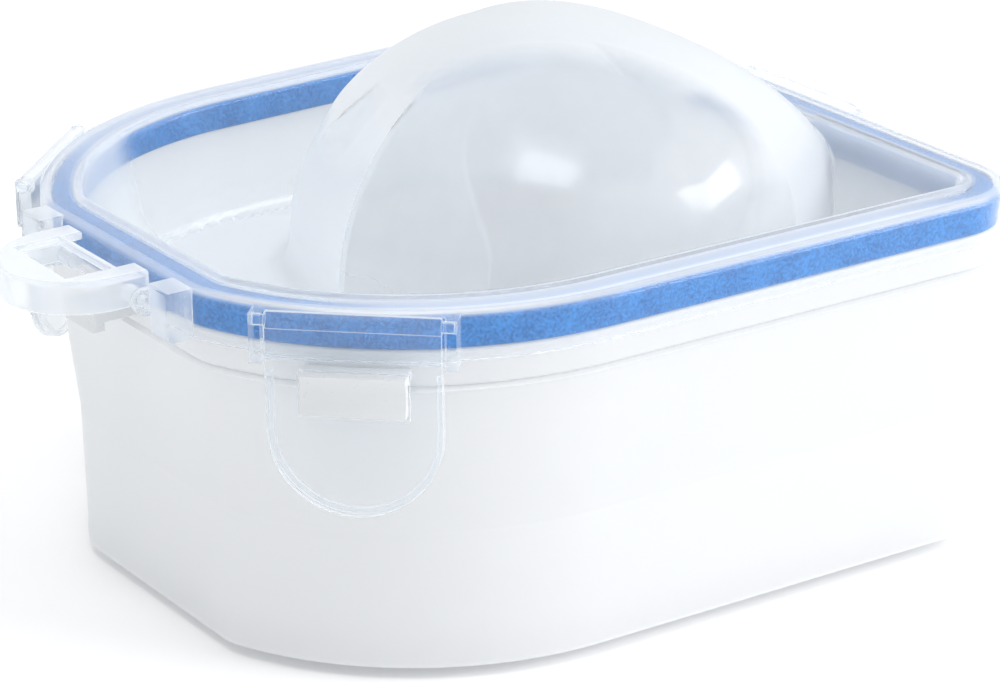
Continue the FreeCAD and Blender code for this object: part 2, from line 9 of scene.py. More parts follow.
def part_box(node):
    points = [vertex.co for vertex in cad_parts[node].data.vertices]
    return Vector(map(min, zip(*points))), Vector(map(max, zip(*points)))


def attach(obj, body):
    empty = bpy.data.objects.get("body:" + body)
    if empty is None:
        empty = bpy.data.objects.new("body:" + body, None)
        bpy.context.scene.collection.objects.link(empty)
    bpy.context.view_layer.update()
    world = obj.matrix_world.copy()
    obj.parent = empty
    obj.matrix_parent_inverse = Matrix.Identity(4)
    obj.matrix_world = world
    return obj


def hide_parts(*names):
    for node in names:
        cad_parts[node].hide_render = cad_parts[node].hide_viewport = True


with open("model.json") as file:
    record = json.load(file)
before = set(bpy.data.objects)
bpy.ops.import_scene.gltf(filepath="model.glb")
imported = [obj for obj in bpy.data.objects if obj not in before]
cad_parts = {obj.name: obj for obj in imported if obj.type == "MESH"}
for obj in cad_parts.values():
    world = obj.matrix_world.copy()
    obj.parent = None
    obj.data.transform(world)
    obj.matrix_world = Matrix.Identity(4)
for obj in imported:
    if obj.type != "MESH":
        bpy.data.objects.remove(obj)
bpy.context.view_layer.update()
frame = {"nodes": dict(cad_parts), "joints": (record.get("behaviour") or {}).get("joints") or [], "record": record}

MM = 0.001
UP = Vector((0, 0, 1))
JOINTS = {joint["child"]: joint for joint in frame["joints"]}

# Every size below is in millimetres. x runs from the finger end to the wrist end, and z is up.
# An inset is a distance inwards from the skirt's outline, and a drop is a distance below the
# ring's top.
RING_WALL = 1.6                 # the ring over the gasket
GASKET_IN, GASKET_INNER = 1.6, 8.4
GASKET_DROP = 9.1
gasket_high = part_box("gasket")[1]
END = round(gasket_high.x / MM + GASKET_IN, 2)
TOP = round(gasket_high.z / MM + RING_WALL + 0.1, 2)
GASKET_FOOT = TOP - GASKET_DROP
RING_UNDER = TOP - RING_WALL - 0.1

# the outline: a round shoulder, a rounded nose at the finger end and corners at the wrist end
SHOULDER_X, SHOULDER_Y, SHOULDER_R = -18.9, 6.9, 80.4
FLARE = math.radians(1.78)
CORNER_R, NOSE_R = 18.0, 20.0

# the tub
TUB_FLANGE = 70.6
TUB_FOOT_IN, TUB_WALL_IN, TUB_BRIM_IN = 7.4, 3.2, 1.9
TUB_INNER_IN, TUB_INNER_FOOT_IN, TUB_MIDDLE_IN = 6.4, 9.4, 26.0
TUB_FLOOR = 2.4

# the tray's ring and basin
SKIRT, SKIRT_WALL = 11.6, 1.4
BROW = 2.0
EDGE_IN, FOOT_IN = 10.1, 13.4
FLOOR = TOP - 32.4
WALL_FOOT_R = 2.6 * 1.6
BASIN_WALL = 1.5

# the palm dome: its widest level, its half sizes, and the bridge that joins it to the wrist wall
DOME_X, DOME_BASE, DOME_LONG, DOME_WIDE = 22.2, 64.3, 59.5, 68.9
DOME_HIGH = round(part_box("tray")[1].z / MM, 2) - DOME_BASE
DOME_WALL = 2.0
WRIST_WALL = END - EDGE_IN
BRIDGE_WIDE, BRIDGE_HIGH = 31.0, TOP - DOME_BASE - 0.4
BRIDGE_REACH = 140.0            # farther than any point of the tray
FILLET = 7.0

# hollows in the dome: the level each ends at, the level it starts to fade at, and its depth
FINGER_HOLLOW = (112.0, 90.0, 4.6)
THUMB_HOLLOW = (98.0, 74.0, 6.0)
# degrees round from the finger end: the ridge between them at its foot and how far it leans in
# between two levels, and where the thumb's hollow ends
RIDGE_FOOT, RIDGE_LEAN, RIDGE_LEVELS = 42.0, 15.0, (80.0, 110.0)
THUMB_END = 122.0

# how finely the tray is divided, and how milky each part of it is
DOME_STEPS, DOME_ROWS, BASIN_ROWS = 69, 74, 40
DOME_HAZE, FLOOR_HAZE, WALL_HAZE, WRIST_WALL_HAZE = 0.28, 0.34, 0.03, 0.5
TAB_HAZE, FLAP_HAZE, LIP_HAZE, BLOCK_HAZE, EAR_HAZE = 0.3, 0.06, 0.12, 0.16, 0.25
PAD_VEIL = 0.6

# latches: hinge pins and knuckles, the long flaps and the finger tab
PIN_R, KNUCKLE_R, PIN_HOLE_R, GROOVE_R = 1.2, 2.0, 1.28, 2.4
FLAP_HALF, FLAP_LONG, FLAP_THICK, FLAP_TOP = 19.0, 43.8, 1.8, 1.0
LIP_TOP, LIP_WALL, LIP_DEEP = 11.4, 1.4, 1.6
FLAP_SLOT = (-12.0, 12.0, -21.1, -10.7)
TAB_HALF, TAB_LONG, TAB_TOP, TAB_WALL = 18.0, 23.4, 2.0, 1.6
TAB_GAP_HALF, TAB_GAP_FOOT = 12.0, 2.5
TAB_SLOT = (-12.0, 12.0, -14.8, -4.0)
TAB_KNUCKLE_AT, TAB_PIN_AT = 15.0, 18.1

# pads on the skirt: the hinge stands this far off the pad, and each ear sticks out this far
HINGE_OUT, EAR_OUT = 1.1, 2.9
EAR_INNER, EAR_OUTER = 19.4, 22.5
PAD_EDGE = 0.15
BLOCK_INNER, BLOCK_OUTER, BLOCK_FOOT, BLOCK_TOP = 24.6, 33.0, -5.1, 6.2
BLOCK_BACK, BLOCK_FACE = -4.7, 2.0
FINGER_EAR_INNER, FINGER_EAR_OUTER, FINGER_EAR_R, FINGER_EAR_BACK = 18.3, 20.6, 3.0, -3.8

# catches
CATCH_ROOT, CATCH_WEB, CATCH_LIP = -4.2, 2.6, 3.0


# ---------------------------------------------------------------- camera, light and floor


def add_object(name, data):
    thing = bpy.data.objects.new(name, data)
    bpy.context.scene.collection.objects.link(thing)
    return thing


def make_camera():
    data = bpy.data.cameras.new("camera")
    data.lens = 134.5
    data.sensor_width = 36.0
    data.clip_start = 0.05
    data.clip_end = 20.0
    camera = add_object("camera", data)
    azimuth, elevation, roll, distance = -0.596, 0.380, -0.014, 0.883
    target = Vector((2.05, -7.65, 45.0)) * MM
    back = Vector((math.sin(azimuth) * math.cos(elevation),
                   -math.cos(azimuth) * math.cos(elevation), math.sin(elevation)))
    right = Vector((math.cos(azimuth), math.sin(azimuth), 0))
    up = back.cross(right)
    right_rolled = right * math.cos(roll) + up * math.sin(roll)
    up_rolled = up * math.cos(roll) - right * math.sin(roll)
    turn = Matrix((right_rolled, up_rolled, back)).transposed()
    camera.matrix_world = Matrix.Translation(target + back * distance) @ turn.to_4x4()
    bpy.context.scene.camera = camera


def area_light(name, place, aim, size, energy):
    data = bpy.data.lights.new(name, "AREA")
    data.shape = "RECTANGLE"
    data.size, data.size_y = size
    data.energy = energy
    light = add_object(name, data)
    light.location = place
    light.rotation_euler = (Vector(aim) - Vector(place)).to_track_quat("-Z", "Y").to_euler()


def make_light():
    world = bpy.data.worlds.new("studio")
    world.use_nodes = True
    tree = world.node_tree
    shade = tree.nodes["Background"]
    # white behind the bowl, falling to a soft grey in front of its finger end
    place = tree.nodes.new("ShaderNodeTexCoord")
    along = tree.nodes.new("ShaderNodeVectorMath")
    along.operation = "DOT_PRODUCT"
    along.inputs[1].default_value = Vector((-0.80, -0.58, 0.15)).normalized()
    tree.links.new(place.outputs["Generated"], along.inputs[0])
    ramp = tree.nodes.new("ShaderNodeMapRange")
    ramp.interpolation_type = "SMOOTHSTEP"
    bright, grey = 1.04, 0.62
    for socket, value in (("From Min", -0.35), ("From Max", 0.9),
                          ("To Min", bright), ("To Max", grey)):
        ramp.inputs[socket].default_value = value
    tree.links.new(along.outputs["Value"], ramp.inputs["Value"])
    tree.links.new(ramp.outputs[0], shade.inputs["Strength"])
    shade.inputs["Color"].default_value = (0.995, 0.998, 1.0, 1)
    bpy.context.scene.world = world
    area_light("key", (0.85, -0.85, 0.55), (0, 0, 0.05), (0.8, 0.6), 8.6)
    area_light("top", (-0.37, -0.21, 1.0), (0, 0, 0.1), (0.4, 0.3), 1.8)
    bpy.context.scene.view_settings.view_transform = "Standard"


def make_floor():
    mesh = bpy.data.meshes.new("floor")
    half = 4.0
    corners = [(-half, -half, 0), (half, -half, 0), (half, half, 0), (-half, half, 0)]
    mesh.from_pydata(corners, [], [(0, 1, 2, 3)])
    floor = add_object("floor", mesh)
    paper = Look("floor_paper")
    paper.set("Base Color", (0.985, 0.985, 0.99, 1))
    paper.set("Roughness", 0.8)
    paper.set("Emission Color", (1, 1, 1, 1))
    paper.set("Emission Strength", 0.05)
    mesh.materials.append(paper.material)


# ---------------------------------------------------------------- materials


class Look:
    """A material being built: its Principled shader and shortcuts to add nodes."""

    def __init__(self, name):
        self.material = bpy.data.materials.new(name)
        self.material.use_nodes = True
        self.tree = self.material.node_tree
        self.skin = self.tree.nodes["Principled BSDF"]
        self.output = self.tree.nodes["Material Output"]

    def set(self, socket, value):
        self.skin.inputs[socket].default_value = value

    def node(self, kind, **inputs):
        node = self.tree.nodes.new(kind)
        for socket, value in inputs.items():
            self.feed(node.inputs[socket.replace("_", " ")], value)
        return node

    def feed(self, socket, value):
        if hasattr(value, "node"):
            self.tree.links.new(value, socket)
        else:
            socket.default_value = value

    def math(self, operation, *values):
        node = self.tree.nodes.new("ShaderNodeMath")
        node.operation = operation
        node.use_clamp = True
        for socket, value in zip(node.inputs, values):
            self.feed(socket, value)
        return node.outputs[0]

    def blend(self, share, first, second):
        node = self.node("ShaderNodeMixShader", Fac=share)
        self.feed(node.inputs[1], first)
        self.feed(node.inputs[2], second)
        return node.outputs[0]

    def attribute(self, label):
        node = self.tree.nodes.new("ShaderNodeAttribute")
        node.attribute_name = label
        return node.outputs["Fac"]

    def scaled(self, value, low, high):
        return self.node("ShaderNodeMapRange", Value=value, To_Min=low, To_Max=high).outputs[0]

    def noise(self, scale, detail=3.0):
        place = self.node("ShaderNodeTexCoord").outputs["Object"]
        node = self.node("ShaderNodeTexNoise", Vector=place, Scale=scale, Detail=detail)
        return node.outputs["Fac"]

    def ramp(self, value, low, high, dark, light):
        ramp = self.node("ShaderNodeValToRGB", Fac=value)
        ramp.color_ramp.elements[0].position = low
        ramp.color_ramp.elements[0].color = dark
        ramp.color_ramp.elements[1].position = high
        ramp.color_ramp.elements[1].color = light
        return ramp.outputs["Color"]

    def bump(self, height, strength, distance):
        node = self.node("ShaderNodeBump", Height=height, Strength=strength, Distance=distance)
        self.feed(self.skin.inputs["Normal"], node.outputs[0])


def white_plastic(name, colour, roughness, through):
    """Moulded polypropylene: a faint orange-peel, cloudy tone and some light let through."""
    look = Look(name)
    cloud = look.noise(9.0)
    duller = tuple(0.985 * v for v in colour)
    look.feed(look.skin.inputs["Base Color"],
              look.ramp(cloud, 0.3, 0.7, duller + (1,), colour + (1,)))
    fine = look.noise(900.0)
    look.feed(look.skin.inputs["Roughness"], look.scaled(fine, roughness - 0.04, roughness + 0.06))
    look.bump(fine, 0.12, 0.0002)
    if through:
        glow = look.node("ShaderNodeBsdfTranslucent", Color=(0.93, 0.945, 0.96, 1))
        look.feed(look.output.inputs["Surface"],
                  look.blend(through, look.skin.outputs[0], glow.outputs[0]))
    return look.material


def blue_foam():
    """Closed-cell foam: fine cells in its colour and its surface."""
    look = Look("blue_foam")
    cells = look.noise(1500.0, 2.0)
    blotch = look.noise(140.0, 3.0)
    both = look.math("ADD", look.math("MULTIPLY", cells, 0.7), look.math("MULTIPLY", blotch, 0.3))
    look.feed(look.skin.inputs["Base Color"],
              look.ramp(both, 0.38, 0.62, (0.008, 0.125, 0.40, 1), (0.03, 0.25, 0.66, 1)))
    look.set("Roughness", 0.9)
    look.set("Sheen Weight", 0.3)
    look.bump(cells, 0.6, 0.0003)
    return look.material


def clear_plastic(name, bend, slant_share, smoothest, roughest):
    """Natural polypropylene: clear where it is thin and seen square, milky at edges and at a slant.

    Mesh attributes say how milky each place is: haze adds milk, and veil scales the slant's share.
    """
    look = Look(name)
    look.set("Base Color", (0.97, 0.985, 1.0, 1))
    look.set("IOR", bend)
    look.set("Specular IOR Level", 0.6)
    look.set("Transmission Weight", 1.0)
    grain = look.noise(420.0)
    look.feed(look.skin.inputs["Roughness"], look.scaled(grain, smoothest, roughest))
    milk_front = look.node("ShaderNodeBsdfPrincipled", Base_Color=(0.89, 0.925, 0.96, 1),
                           Roughness=0.3)
    milk_through = look.node("ShaderNodeBsdfTranslucent", Color=(0.93, 0.96, 0.99, 1))
    milk = look.blend(0.4, milk_front.outputs[0], milk_through.outputs[0])
    haze, veil = look.attribute("haze"), look.attribute("veil")
    slant = look.node("ShaderNodeLayerWeight", Blend=0.5)
    grazing = look.node("ShaderNodeMapRange", Value=slant.outputs["Facing"], From_Min=0.40,
                        From_Max=0.55, To_Max=slant_share)
    grazing.interpolation_type = "SMOOTHSTEP"
    uneven = look.scaled(look.noise(60.0, 2.0), 0.88, 1.12)
    share = look.math("ADD", look.math("MULTIPLY", haze, uneven),
                      look.math("MULTIPLY", grazing.outputs[0], veil))
    both = look.blend(look.math("MINIMUM", share, 0.95), look.skin.outputs[0], milk)
    # lamps and bounced light pass the thin wall nearly unweakened
    path = look.tree.nodes.new("ShaderNodeLightPath")
    passing = look.math("MULTIPLY", look.math("MAXIMUM", path.outputs["Is Shadow Ray"],
                                              path.outputs["Is Diffuse Ray"]), 0.98)
    pane = look.node("ShaderNodeBsdfTransparent", Color=(0.985, 0.99, 0.995, 1))
    look.feed(look.output.inputs["Surface"], look.blend(passing, both, pane.outputs[0]))
    return look.material


# ---------------------------------------------------------------- mesh helpers


def finish_piece(name, mesh, material, body, nodes):
    """Hand a finished mesh over: its material, the body it rides on and the nodes it replaces."""
    piece = add_object(name, mesh)
    mesh.materials.append(material)
    mesh.shade_smooth()
    mesh.set_sharp_from_angle(angle=math.radians(40.0))
    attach(piece, body)
    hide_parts(*nodes)


def mend(mesh, weld=0.0, sliver=0.0):
    """Weld close points, take out thin faces, and turn every face outwards."""
    build = bmesh.new()
    build.from_mesh(mesh)
    if weld:
        bmesh.ops.remove_doubles(build, verts=build.verts, dist=weld * MM)
    if sliver:
        bmesh.ops.dissolve_degenerate(build, edges=build.edges, dist=sliver * MM)
    bmesh.ops.recalc_face_normals(build, faces=build.faces)
    build.to_mesh(mesh)
    build.free()


def add_layer(mesh, label, values):
    layer = mesh.attributes.new(label, "FLOAT", "POINT")
    layer.data.foreach_set("value", values)


def set_haze(mesh, haze, veil=1.0):
    for label, value in (("haze", haze), ("veil", veil)):
        add_layer(mesh, label, [value] * len(mesh.vertices))


def mesh_from_grid(name, rows, ring=False, caps=(), layers=()):
    """Skin between rows, which are closed loops of equally many points in millimetres."""
    count = len(rows[0])
    mesh = bpy.data.meshes.new(name)
    points = [tuple(value * MM for value in point) for row in rows for point in row]
    faces = []
    last = len(rows) if ring else len(rows) - 1
    for r in range(last):
        here, there = r * count, (r + 1) % len(rows) * count
        for k in range(count):
            nxt = (k + 1) % count
            faces.append((here + k, here + nxt, there + nxt, there + k))
    for row in caps:
        faces.append(tuple(range(row * count, (row + 1) * count)))
    mesh.from_pydata(points, [], faces)
    for label, values in layers:
        add_layer(mesh, label, [value for row in values for value in row])
    mend(mesh, weld=0.02, sliver=0.01)
    return mesh


def arc_points(centre, radius, first, last, count):
    steps = [first + (last - first) * k / (count - 1) for k in range(count)]
    return [(centre[0] + radius * math.cos(a), centre[1] + radius * math.sin(a)) for a in steps]


def mix(a, b, share):
    return a + (b - a) * share


def between(a, b, share):
    return tuple(mix(p, q, share) for p, q in zip(a, b))


def spread(a, b, count):
    """Points strictly between two places."""
    return [between(a, b, k / (count + 1)) for k in range(1, count + 1)]


def half_plan(inset):
    """The outline's far half, from the middle of the finger end to the middle of the wrist end."""
    radius = SHOULDER_R - inset
    nose = max(NOSE_R - inset, 2.0)
    nose_x = -(END - inset) + nose
    nose_y = SHOULDER_Y + math.sqrt((radius - nose) ** 2 - (nose_x - SHOULDER_X) ** 2)
    lean = math.atan2(nose_y - SHOULDER_Y, nose_x - SHOULDER_X)
    side = math.pi / 2 + FLARE
    corner = max(CORNER_R - inset, 1.0)
    corner_x = END - inset - corner
    reach = radius - corner
    corner_y = (SHOULDER_Y + reach * math.sin(side)
                + (corner_x - SHOULDER_X - reach * math.cos(side)) * math.tan(FLARE))
    nose_arc = arc_points((nose_x, nose_y), nose, math.pi, lean, 9)
    shoulder_arc = arc_points((SHOULDER_X, SHOULDER_Y), radius, lean, side, 66)[1:]
    corner_arc = arc_points((corner_x, corner_y), corner, side, 0.0, 17)
    points = [(-(END - inset), 0.0)]
    points += spread(points[0], nose_arc[0], 14) + nose_arc + shoulder_arc
    points += spread(shoulder_arc[-1], corner_arc[0], 38) + corner_arc
    middle = (END - inset, 0.0)
    points += spread(corner_arc[-1], middle, 44) + [middle]
    return points


def plan(inset):
    far = half_plan(inset)
    near = [(x, -y) for x, y in far[1:-1]]
    return far + near[::-1]


def sweep(profile):
    """Rows that follow the outline at each (inset, height) of a profile."""
    return [[(x, y, height) for x, y in plan(inset)] for inset, height in profile]


def rounded(corners, radii, steps=5):
    """A profile through corners, each turned on its radius, or sharp where that is zero."""
    points = []
    for k, (corner, radius) in enumerate(zip(corners, radii)):
        if not radius:
            points.append(corner)
            continue
        before = Vector(corners[k - 1]) - Vector(corner)
        after = Vector(corners[(k + 1) % len(corners)]) - Vector(corner)
        half = before.angle(after) / 2
        reach = radius / math.tan(half)
        first = Vector(corner) + before.normalized() * reach
        last = Vector(corner) + after.normalized() * reach
        middle = (before.normalized() + after.normalized()).normalized() * (radius / math.sin(half))
        centre = Vector(corner) + middle
        for j in range(steps + 1):
            points.append(tuple(centre + (first - centre).slerp(last - centre, j / steps)))
    return points


# ---------------------------------------------------------------- tub and gasket


def make_tub(material):
    """The tub: up its outside, over the brim under the gasket, and down its inside."""
    deck = GASKET_FOOT - 0.1
    corners = [(TUB_FOOT_IN, 0.0), (TUB_WALL_IN, TUB_FLANGE), (TUB_BRIM_IN, TUB_FLANGE),
               (TUB_BRIM_IN, deck), (TUB_INNER_IN, deck), (TUB_INNER_FOOT_IN, TUB_FLOOR)]
    radii = [3.5, 1.2, 1.6, 0.9, 1.2, 3.5]
    profile = [(TUB_MIDDLE_IN, 0.0)] + rounded(corners, radii) + [(TUB_MIDDLE_IN, TUB_FLOOR)]
    rows = sweep(profile)
    mesh = mesh_from_grid("tub_shell", rows, caps=(0, len(rows) - 1))
    finish_piece("tub_shell", mesh, material, "bowl", ["tub"])


def make_gasket(material):
    foot, head = GASKET_FOOT, TOP - RING_WALL - 0.2
    corners = [(GASKET_IN, foot), (GASKET_IN, head), (GASKET_INNER, head), (GASKET_INNER, foot)]
    rows = sweep(rounded(corners, [1.0, 1.3, 1.3, 1.0]))
    mesh = mesh_from_grid("gasket_ring", rows, ring=True)
    finish_piece("gasket_ring", mesh, material, "bowl", ["gasket"])


# ---------------------------------------------------------------- tray


def smooth_step(value, low, high):
    t = min(max((value - low) / (high - low), 0.0), 1.0)
    return t * t * (3 - 2 * t)


def station(x):
    """Half width, height over the base and squareness of the dome's wrist half at x."""
    u = min(max((x - DOME_X) / (WRIST_WALL - DOME_X), 0.0), 1.15)
    wide = DOME_WIDE - (DOME_WIDE - BRIDGE_WIDE) * u ** 1.4     # narrows early, to a waist
    high = DOME_HIGH - (DOME_HIGH - BRIDGE_HIGH) * u ** 2
    return wide, high, 2.0 + 1.5 * u


def dome_radius(c, s):
    """How far the dome's widest line is from its centre, towards (c, s)."""
    if c <= 0:
        return 1 / math.hypot(c / DOME_LONG, s / DOME_WIDE)
    low, high = 0.0, BRIDGE_REACH
    for _ in range(30):
        middle = (low + high) / 2
        if abs(middle * s) < station(DOME_X + middle * c)[0]:
            low = middle
        else:
            high = middle
    return low


def dome_top(c, s, rho):
    """Height of the dome at distance rho from its centre."""
    if c <= 0:
        radius = dome_radius(c, s)
        return DOME_BASE + DOME_HIGH * math.sqrt(max(1 - (rho / radius) ** 2, 0.0))
    wide, high, power = station(DOME_X + rho * c)
    return DOME_BASE + high * max(1 - (abs(rho * s) / wide) ** power, 0.0) ** (1 / power)


def hollow(turn, height, middle, half, top, shoulder, deep):
    """Depth of one hollow, which fades out between its shoulder and its top."""
    across = min(abs(turn - middle) / half, 1.0)
    return deep * (1 - across * across) * (1 - smooth_step(height, shoulder, top))


def hollow_depth(c, s, height):
    """Depth of the finger and thumb hollows below the dome's skin, with a ridge between them."""
    turn = math.degrees(math.atan2(abs(s), -c))
    ridge = RIDGE_FOOT - RIDGE_LEAN * smooth_step(height, *RIDGE_LEVELS)
    finger = hollow(turn, height, ridge / 2, ridge / 2, *FINGER_HOLLOW)
    thumb = hollow(turn, height, (ridge + THUMB_END) / 2, (THUMB_END - ridge) / 2, *THUMB_HOLLOW)
    return max(finger, thumb) * (0.5 + 0.5 * smooth_step(height, FLOOR, FLOOR + 12.0))


def length_of(points):
    return sum(math.dist(a, b) for a, b in zip(points, points[1:]))


def resample(points, count):
    """Evenly spaced points along a polyline, ends included."""
    total = length_of(points)
    if total < 1e-6:
        return [points[0]] * count
    result, travelled, leg = [points[0]], 0.0, 0
    for k in range(1, count - 1):
        goal = total * k / (count - 1)
        while travelled + math.dist(points[leg], points[leg + 1]) < goal:
            travelled += math.dist(points[leg], points[leg + 1])
            leg += 1
        step = math.dist(points[leg], points[leg + 1])
        result.append(between(points[leg], points[leg + 1], (goal - travelled) / step))
    return result + [points[-1]]


def cut_length(points, length):
    """The polyline's first part, up to a length."""
    result = [points[0]]
    for a, b in zip(points, points[1:]):
        step = math.dist(a, b)
        if length <= step:
            result.append(between(a, b, length / step if step else 0.0))
            return result
        length -= step
        result.append(b)
    return result


def wall_profile():
    """Inset and height down the basin's wall, from under the ring's lip to the floor."""
    corners = [(EDGE_IN, RING_UNDER), (FOOT_IN, FLOOR), (FOOT_IN + 20, FLOOR)]
    profile = rounded(corners, [0, WALL_FOOT_R, 0], 7)[:-1]
    return profile[:1] + spread(profile[0], profile[1], 30) + profile[1:]


def bridge_meets(wall, c, s):
    """Which point of the wall the bridge runs into, or None where the dome ends on the floor."""
    for k, point in enumerate(wall):
        rho = math.hypot(point[0] - DOME_X, point[1])
        if rho < dome_radius(c, s) and dome_top(c, s, rho) >= point[2]:
            return k
    return None


def dome_line(wall, c, s, meets):
    """The smooth dome's line in one direction, as (distance from its centre, height)."""
    radius = dome_radius(c, s)
    line = []
    if meets is None:
        for j in range(DOME_STEPS + 1):
            rho = radius * math.sin(math.pi / 2 * j / DOME_STEPS)
            line.append((rho, dome_top(c, s, rho)))
        foot = radius + 0.4
        return line + [(foot, DOME_BASE - 4.0), (foot + 0.3, FLOOR)]
    stop = math.hypot(wall[meets][0] - DOME_X, wall[meets][1])
    for j in range(DOME_STEPS + 1):
        share = j / DOME_STEPS
        if radius < BRIDGE_REACH - 1:
            share = math.sin(math.asin(stop / radius) * j / DOME_STEPS) * radius / stop
        line.append((stop * share, dome_top(c, s, stop * share)))
    return line[:-1] + [(stop, wall[meets][2])]


def carve(dome, c, s, meets):
    """The dome's line with its hollows taken out, in the tray's own frame."""
    carved = []
    for j, (rho, height) in enumerate(dome):
        before, after = dome[max(j - 1, 0)], dome[min(j + 1, len(dome) - 1)]
        along = Vector((after[0] - before[0], after[1] - before[1])).normalized()
        depth = hollow_depth(c, s, height) if meets is None else 0.0
        rho, height = rho + depth * along.y, height - depth * along.x
        if height >= FLOOR - 0.001:
            carved.append((DOME_X + rho * c, rho * s, height))
    return carved


def tray_column(wall, c, s, meets):
    """Points from the dome's apex down and out to under the ring's lip, for one direction."""
    carved = carve(dome_line(wall, c, s, meets), c, s, meets)
    knee = carved[-1][:2] + ((FLOOR,) if meets is None else (wall[meets][2],))
    carved[-1] = knee
    rest = [knee] + wall[::-1] if meets is None else wall[:meets + 1][::-1]
    rest_long, dome_long = length_of(rest), length_of(carved)
    reach_in, reach_out = min(FILLET, dome_long * 0.3), min(FILLET, rest_long * 0.45)
    inner = cut_length(carved, dome_long - reach_in)
    outer = cut_length(rest[::-1], rest_long - reach_out)[::-1]
    bend = [between(between(inner[-1], knee, t), between(knee, outer[0], t), t)
            for t in (k / 10 for k in range(1, 10))]
    return resample(inner + bend[:5], DOME_ROWS) + resample(bend[4:] + outer, BASIN_ROWS)[1:]


def surface_normals(rows):
    """Unit normals of a grid of loops, upwards on the dome and into the basin on its wall."""
    count = len(rows[0])
    normals = []
    for r, row in enumerate(rows):
        above, below = rows[max(r - 1, 0)], rows[min(r + 1, len(rows) - 1)]
        line = []
        for k in range(count):
            out = Vector(below[k]) - Vector(above[k])
            across = Vector(row[(k + 1) % count]) - Vector(row[k - 1])
            normal = across.cross(out)
            if r == 0 or normal.length < 1e-4:
                normal = UP.copy()
            line.append(normal.normalized())
        normals.append(line)
    return normals


def rim_stations():
    """Inset, drop and haze from the basin's lip over the ring, down the skirt and back inside."""
    lip = [(EDGE_IN - 0.05, 0.5), (EDGE_IN - 0.35, -0.2), (EDGE_IN - 0.95, -0.5),
           (EDGE_IN - 1.6, -0.4), (EDGE_IN - 2.1, -0.05), (EDGE_IN - 2.5, 0.08)]
    stations = [(inset, drop, 0.5) for inset, drop in lip]
    stations += [(6.4, 0.08, 0.04), (5.2, 0.08, 0.0), (4.0, 0.08, 0.0), (3.0, 0.08, 0.04)]
    for k, haze in enumerate((0.4, 0.5, 0.5, 0.5, 0.45, 0.35, 0.25, 0.12, 0.05)):
        turn = k * math.pi / 2 / 8
        stations.append((BROW - BROW * math.sin(turn), BROW - BROW * math.cos(turn), haze))
    stations += [(0.0, 4.0, 0.0), (0.0, 6.5, 0.0), (0.0, 9.0, 0.02), (0.0, SKIRT - 0.7, 0.2),
                 (0.15, SKIRT - 0.2, 0.3), (0.5, SKIRT, 0.4), (0.95, SKIRT, 0.4),
                 (SKIRT_WALL - 0.1, SKIRT - 0.2, 0.3), (SKIRT_WALL, SKIRT - 0.7, 0.1)]
    inside = [(SKIRT_WALL, 9.0), (SKIRT_WALL, 6.0), (SKIRT_WALL, 2.6), (1.6, 2.0),
              (2.1, RING_WALL), (4.0, RING_WALL), (6.0, RING_WALL), (8.3, RING_WALL)]
    return stations + [(inset, drop, 0.0) for inset, drop in inside]


def underside(upper):
    """The same grid a wall's thickness below, which stays under the ring."""
    lower = []
    for r, (row, line) in enumerate(zip(upper, surface_normals(upper))):
        thick = mix(DOME_WALL, BASIN_WALL, smooth_step(r, DOME_ROWS - 8, DOME_ROWS + 6))
        under = []
        for point, normal in zip(row, line):
            spot = Vector(point) - normal * thick
            if r >= DOME_ROWS:
                spot.z = min(spot.z, RING_UNDER)
            under.append(tuple(spot))
        lower.append(under)
    return lower


def tray_haze(upper, bridged):
    """How milky the dome and the basin are. The floor and the wrist wall are milkiest."""
    haze = []
    for r, row in enumerate(upper):
        outwards = smooth_step(r, DOME_ROWS - 12, DOME_ROWS)
        line = []
        for point, bridge in zip(row, bridged):
            wall_haze = WALL_HAZE + WRIST_WALL_HAZE * smooth_step(point[0], 60.0, 78.0)
            rise = smooth_step(point[2], FLOOR + 0.5, FLOOR + 14.0)
            basin = wall_haze if bridge else mix(FLOOR_HAZE, wall_haze, rise)
            line.append(mix(DOME_HAZE, basin, outwards))
        haze.append(line)
    return haze


def make_tray(material):
    """Dome, basin, ring and skirt in one shell: its upper side, its rim and its underside."""
    wall_loops = sweep(wall_profile())
    count = len(wall_loops[0])
    columns, bridged = [], []
    for k in range(count):
        wall = [loop[k] for loop in wall_loops]
        foot = wall[-1]
        rho = math.hypot(foot[0] - DOME_X, foot[1])
        c, s = (foot[0] - DOME_X) / rho, foot[1] / rho
        meets = bridge_meets(wall, c, s)
        columns.append(tray_column(wall, c, s, meets))
        bridged.append(meets is not None)
    upper = [list(row) for row in zip(*columns)]
    rim = rim_stations()
    rows = upper + sweep([(inset, TOP - drop) for inset, drop, _ in rim]) + underside(upper)[::-1]
    inside_haze = tray_haze(upper, bridged)
    haze = inside_haze + [[value] * count for _, _, value in rim] + inside_haze[::-1]
    # painted reflection: the slant's milk stays full on the sides of the ring and skirt, standing in for the
    # bright surroundings they reflect, and fades out at the two ends, where the gasket shows best
    ends = [1.0 - max(smooth_step(x, 50.0, 88.0), smooth_step(-x, 55.0, 88.0))
            for x, _ in plan(5.0)]
    plain = [[1.0] * count] * len(upper)
    veil = plain + [ends] * len(rim) + plain
    mesh = mesh_from_grid("tray_shell", rows, layers=(("haze", haze), ("veil", veil)))
    finish_piece("tray_shell", mesh, material, "bowl", ["tray"])


# ---------------------------------------------------------------- latches, pads and catches


def tongue(half, top, drop):
    """Outline of a strip with a round end, in (along the hinge, up)."""
    points = [(half, top)]
    points += arc_points((0.0, -drop + half), half, 0.0, -math.pi, 28)
    return points + [(-half, top)]


def box_loop(left, right, low, high):
    return [(left, low), (right, low), (right, high), (left, high)]


